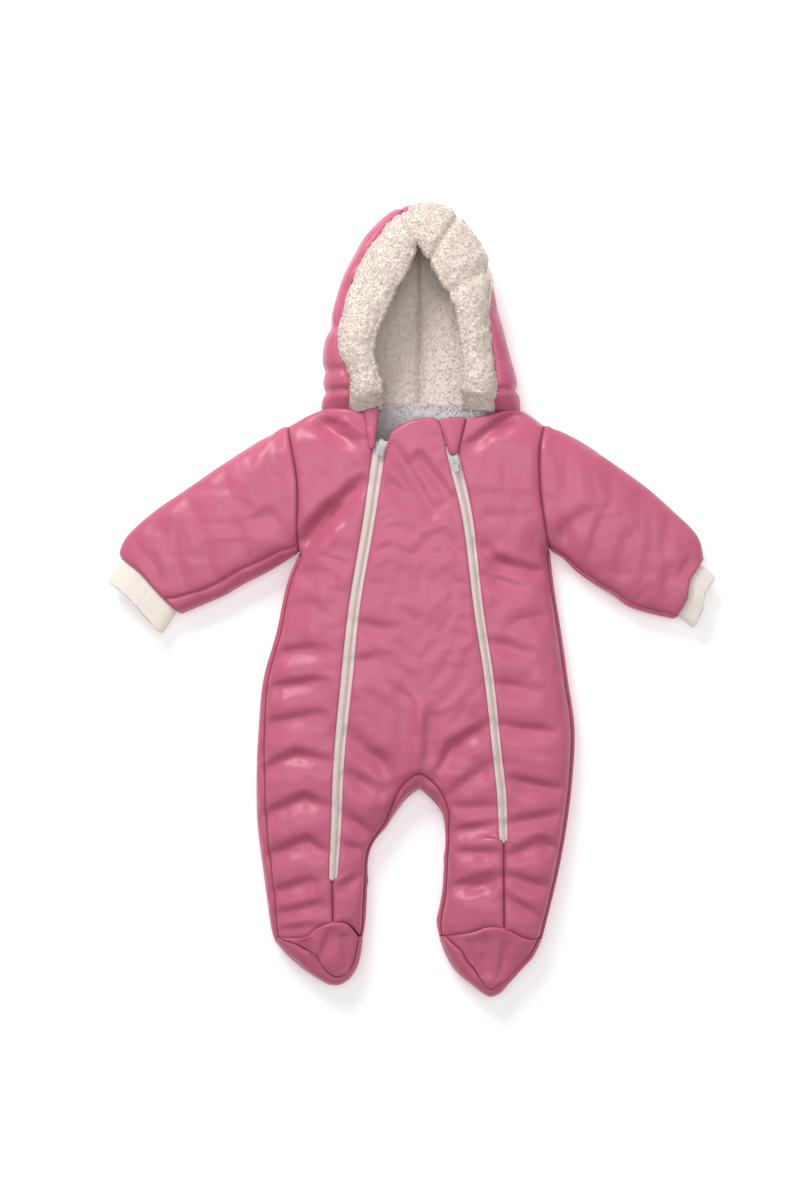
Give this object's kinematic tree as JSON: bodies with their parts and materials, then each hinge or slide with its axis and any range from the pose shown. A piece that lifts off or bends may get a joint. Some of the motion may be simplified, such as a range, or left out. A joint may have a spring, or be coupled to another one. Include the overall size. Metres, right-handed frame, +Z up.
{
  "type": "baby snowsuit",
  "caption": "Hooded, footed baby snowsuit laid out flat on its back: padded nylon, two long zips, rib cuffs and a teddy-lined hood with its edge turned out.",
  "frame": {"origin": "on the surface that the suit lies on, under the middle of its bounding box", "axes": "+Y from the feet to the hood, +X towards the wearer's left side, +Z up out of the suit's front"},
  "size_m": [0.6329, 0.8284, 0.0691],
  "materials": {
    "nylon": "soft sheen, padded",
    "teddy": "curly pile",
    "neck_lining": "short pile",
    "rib": "rib knit",
    "zip_tape": "woven tape with a nylon coil",
    "zip_metal": "satin, lacquered white"
  },
  "bodies": {
    "garment": {"front_centre": "nylon", "front_side_right": "nylon", "front_side_left": "nylon", "back": "nylon", "sleeve_right": "nylon", "sleeve_left": "nylon", "cuff_right": "rib", "cuff_left": "rib", "toe_cap_right": "nylon", "toe_cap_left": "nylon", "sole_right": "nylon", "sole_left": "nylon", "neck_lining": "neck_lining", "hood_shell_right": "nylon", "hood_shell_left": "nylon", "hood_lining_right": "teddy", "hood_lining_left": "teddy", "hood_facing": "teddy", "zip_tape_right": "zip_tape", "zip_tape_left": "zip_tape", "zip_guard_right": "nylon", "zip_guard_left": "nylon", "zip_slider_right": "zip_metal", "zip_slider_left": "zip_metal"},
    "pull_right": {"zip_pull_right": "zip_metal"},
    "pull_left": {"zip_pull_left": "zip_metal"}
  },
  "joints": [
    {"name": "pull_right_hinge", "type": "hinge", "parent": "garment", "child": "pull_right", "pos_m": [-0.0324, 0.1581, 0.04757], "axis": [0.9778, -0.2095, 0], "range_deg": [0, 170]},
    {"name": "pull_left_hinge", "type": "hinge", "parent": "garment", "child": "pull_left", "pos_m": [0.045, 0.1476, 0.04805], "axis": [-0.9806, -0.1961, 0], "range_deg": [0, 110]}
  ]
}
